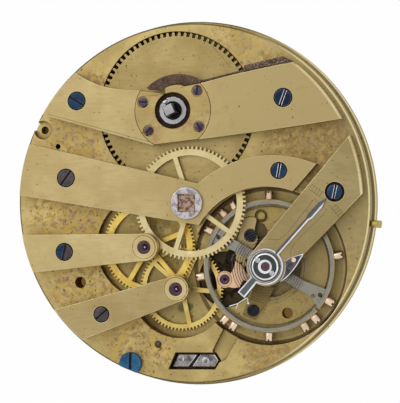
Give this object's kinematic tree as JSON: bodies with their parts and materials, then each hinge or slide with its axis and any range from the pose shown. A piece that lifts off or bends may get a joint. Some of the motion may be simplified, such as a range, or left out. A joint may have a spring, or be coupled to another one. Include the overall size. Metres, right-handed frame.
{
  "type": "pocket watch movement",
  "caption": "Round key-wound bar movement of a pocket watch: gilt plate and bars, a train of toothed wheels, lever escapement and a cut balance under a cock with a regulator.",
  "frame": {"origin": "on the hand axis, in the plane of the rim that the dial sits on", "axes": "+Z from the dial side towards the bars, X to the right and Y up as the back is looked at"},
  "size_m": [0.0438, 0.043, 0.0093],
  "materials": {
    "gilt": "matte gilt",
    "wheel_brass": "polished",
    "rose_gold": "polished",
    "steel": "polished",
    "grey_steel": "satin",
    "blued_steel": "blued",
    "purple_steel": "blued",
    "spring_steel": "blued",
    "ruby": "polished"
  },
  "bodies": {
    "movement": {"main_plate": "gilt", "barrel_bridge": "gilt", "ratchet_cover": "gilt", "centre_bridge": "gilt", "third_wheel_bridge": "gilt", "fourth_wheel_bridge": "gilt", "escape_cock": "rose_gold", "pallet_cock": "gilt", "balance_cock": "gilt", "bar_screws": "blued_steel", "cock_screw": "blued_steel", "ratchet_cover_screws": "purple_steel", "escapement_screws": "blued_steel", "case_screw": "blued_steel", "jewel_settings": "wheel_brass", "train_jewels": "ruby", "lower_jewels": "ruby", "balance_jewel": "ruby", "end_stone": "ruby", "end_cap": "grey_steel", "cap_screws": "steel", "stud_carrier": "steel", "hairspring_stud": "steel", "case_pin": "wheel_brass", "plate_pin": "steel", "slot_block": "grey_steel", "minute_post": "steel"},
    "barrel": {"barrel_drum": "wheel_brass", "barrel_lid": "wheel_brass", "mainspring": "spring_steel"},
    "winding": {"barrel_arbor": "steel", "ratchet_wheel": "steel"},
    "click": {"click_spring": "grey_steel"},
    "centre": {"centre_wheel": "wheel_brass", "centre_pinion": "steel", "setting_arbor": "steel", "cannon_pinion": "steel"},
    "third": {"third_wheel": "wheel_brass", "third_pinion": "steel"},
    "fourth": {"fourth_wheel": "wheel_brass", "fourth_pinion": "steel"},
    "escape": {"escape_wheel": "steel", "escape_pinion": "steel"},
    "lever": {"pallet_lever": "steel", "pallet_stones": "ruby", "pallet_arbor": "steel"},
    "balance": {"balance_wheel": "steel", "balance_rim": "rose_gold", "balance_screws": "rose_gold", "balance_staff": "steel", "impulse_roller": "steel", "impulse_pin": "ruby", "hairspring": "spring_steel", "hairspring_collet": "wheel_brass"},
    "regulator": {"regulator": "steel"},
    "minute": {"minute_wheel": "wheel_brass"},
    "hour": {"hour_wheel": "wheel_brass"}
  },
  "joints": [
    {"name": "centre_turn", "type": "hinge", "parent": "movement", "child": "centre", "pos_m": [0, 0, 0.0042], "axis": [0, 0, 1], "continuous": true},
    {"name": "barrel_turn", "type": "hinge", "parent": "movement", "child": "barrel", "pos_m": [-0.00175, 0.0108, 0.003], "axis": [0, 0, 1], "continuous": true},
    {"name": "third_turn", "type": "hinge", "parent": "movement", "child": "third", "pos_m": [-0.00521, -0.00516, 0.003], "axis": [0, 0, 1], "continuous": true},
    {"name": "fourth_turn", "type": "hinge", "parent": "movement", "child": "fourth", "pos_m": [-0.0014, -0.01003, 0.0025], "axis": [0, 0, 1], "continuous": true},
    {"name": "escape_turn", "type": "hinge", "parent": "movement", "child": "escape", "pos_m": [0.00392, -0.00893, 0.002], "axis": [0, 0, 1], "continuous": true},
    {"name": "minute_turn", "type": "hinge", "parent": "movement", "child": "minute", "pos_m": [0.00338, 0.00123, 0.0009], "axis": [0, 0, 1], "continuous": true},
    {"name": "hour_turn", "type": "hinge", "parent": "movement", "child": "hour", "pos_m": [0, 0, 0.0005], "axis": [0, 0, 1], "continuous": true},
    {"name": "winding_turn", "type": "hinge", "parent": "movement", "child": "winding", "pos_m": [-0.00175, 0.0108, 0.004], "axis": [0, 0, 1], "range_deg": [-1440, 0], "deforming": ["mainspring"]},
    {"name": "click_lift", "type": "hinge", "parent": "movement", "child": "click", "pos_m": [0.00925, 0.01605, 0.0052], "axis": [0, 0, 1], "range_deg": [-1.5, 0]},
    {"name": "lever_rock", "type": "hinge", "parent": "movement", "child": "lever", "pos_m": [0.0058, -0.00706, 0.002], "axis": [0, 0, 1], "range_deg": [-5, 5]},
    {"name": "balance_swing", "type": "hinge", "parent": "movement", "child": "balance", "pos_m": [0.00927, -0.0073, 0.0035], "axis": [0, 0, 1], "range_deg": [-270, 270], "deforming": ["hairspring"]},
    {"name": "regulator_turn", "type": "hinge", "parent": "movement", "child": "regulator", "pos_m": [0.00927, -0.0073, 0.0059], "axis": [0, 0, 1], "range_deg": [-15, 15]}
  ],
  "couplings": [
    {"joint": "barrel_turn", "follows": "centre_turn", "ratio": -0.2},
    {"joint": "third_turn", "follows": "centre_turn", "ratio": -8},
    {"joint": "fourth_turn", "follows": "centre_turn", "ratio": 60},
    {"joint": "escape_turn", "follows": "centre_turn", "ratio": -600},
    {"joint": "minute_turn", "follows": "centre_turn", "ratio": -0.33333},
    {"joint": "hour_turn", "follows": "centre_turn", "ratio": 0.083333}
  ]
}
